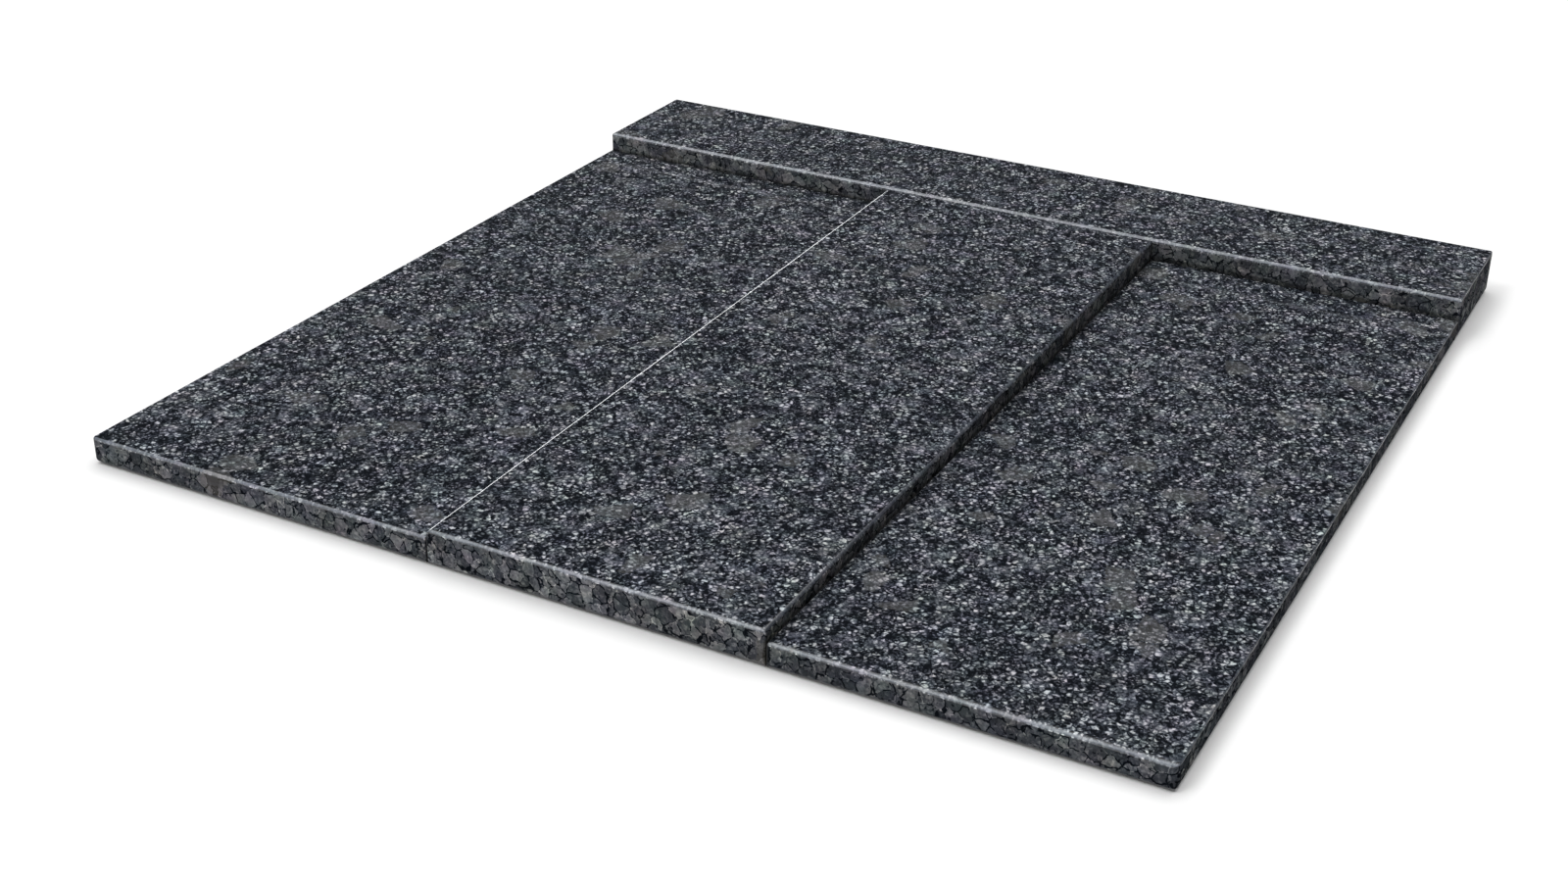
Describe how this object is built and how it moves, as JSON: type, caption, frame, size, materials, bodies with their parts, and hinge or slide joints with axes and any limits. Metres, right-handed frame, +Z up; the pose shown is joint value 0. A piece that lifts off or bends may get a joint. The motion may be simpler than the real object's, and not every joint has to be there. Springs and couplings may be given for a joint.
{
  "type": "granite slab",
  "caption": "Polished granite work slab set: a wedge-shaped centre slab between two lower side slabs, with a raised rail across the back.",
  "frame": {"origin": "on the bench under the middle of the set, at the centre of the pads' bottom plane", "axes": "+X to the right along the front edge, +Y from the front edge to the back rail, +Z up"},
  "size_m": [0.9, 0.91, 0.0411],
  "materials": {
    "granite": "satin",
    "sealant": "satin",
    "steel": "satin",
    "rubber": "matte"
  },
  "bodies": {
    "root": {"left_slab": "granite", "centre_slab": "granite", "right_slab": "granite", "back_rail": "granite", "seal_left_centre": "sealant", "seal_centre_right": "sealant", "seal_left_rail": "sealant", "seal_centre_rail": "sealant", "seal_right_rail": "sealant", "dowel_left_centre_1": "steel", "dowel_left_centre_2": "steel", "dowel_centre_right_1": "steel", "dowel_centre_right_2": "steel", "dowel_left_rail_1": "steel", "dowel_left_rail_2": "steel", "dowel_centre_rail_1": "steel", "dowel_centre_rail_2": "steel", "dowel_right_rail_1": "steel", "dowel_right_rail_2": "steel", "pad_left_slab_1": "rubber", "pad_left_slab_2": "rubber", "pad_left_slab_3": "rubber", "pad_left_slab_4": "rubber", "pad_left_slab_5": "rubber", "pad_left_slab_6": "rubber", "pad_centre_slab_1": "rubber", "pad_centre_slab_2": "rubber", "pad_centre_slab_3": "rubber", "pad_centre_slab_4": "rubber", "pad_centre_slab_5": "rubber", "pad_centre_slab_6": "rubber", "pad_right_slab_1": "rubber", "pad_right_slab_2": "rubber", "pad_right_slab_3": "rubber", "pad_right_slab_4": "rubber", "pad_right_slab_5": "rubber", "pad_right_slab_6": "rubber", "pad_back_rail_1": "rubber", "pad_back_rail_2": "rubber", "pad_back_rail_3": "rubber", "pad_back_rail_4": "rubber"}
  },
  "joints": []
}
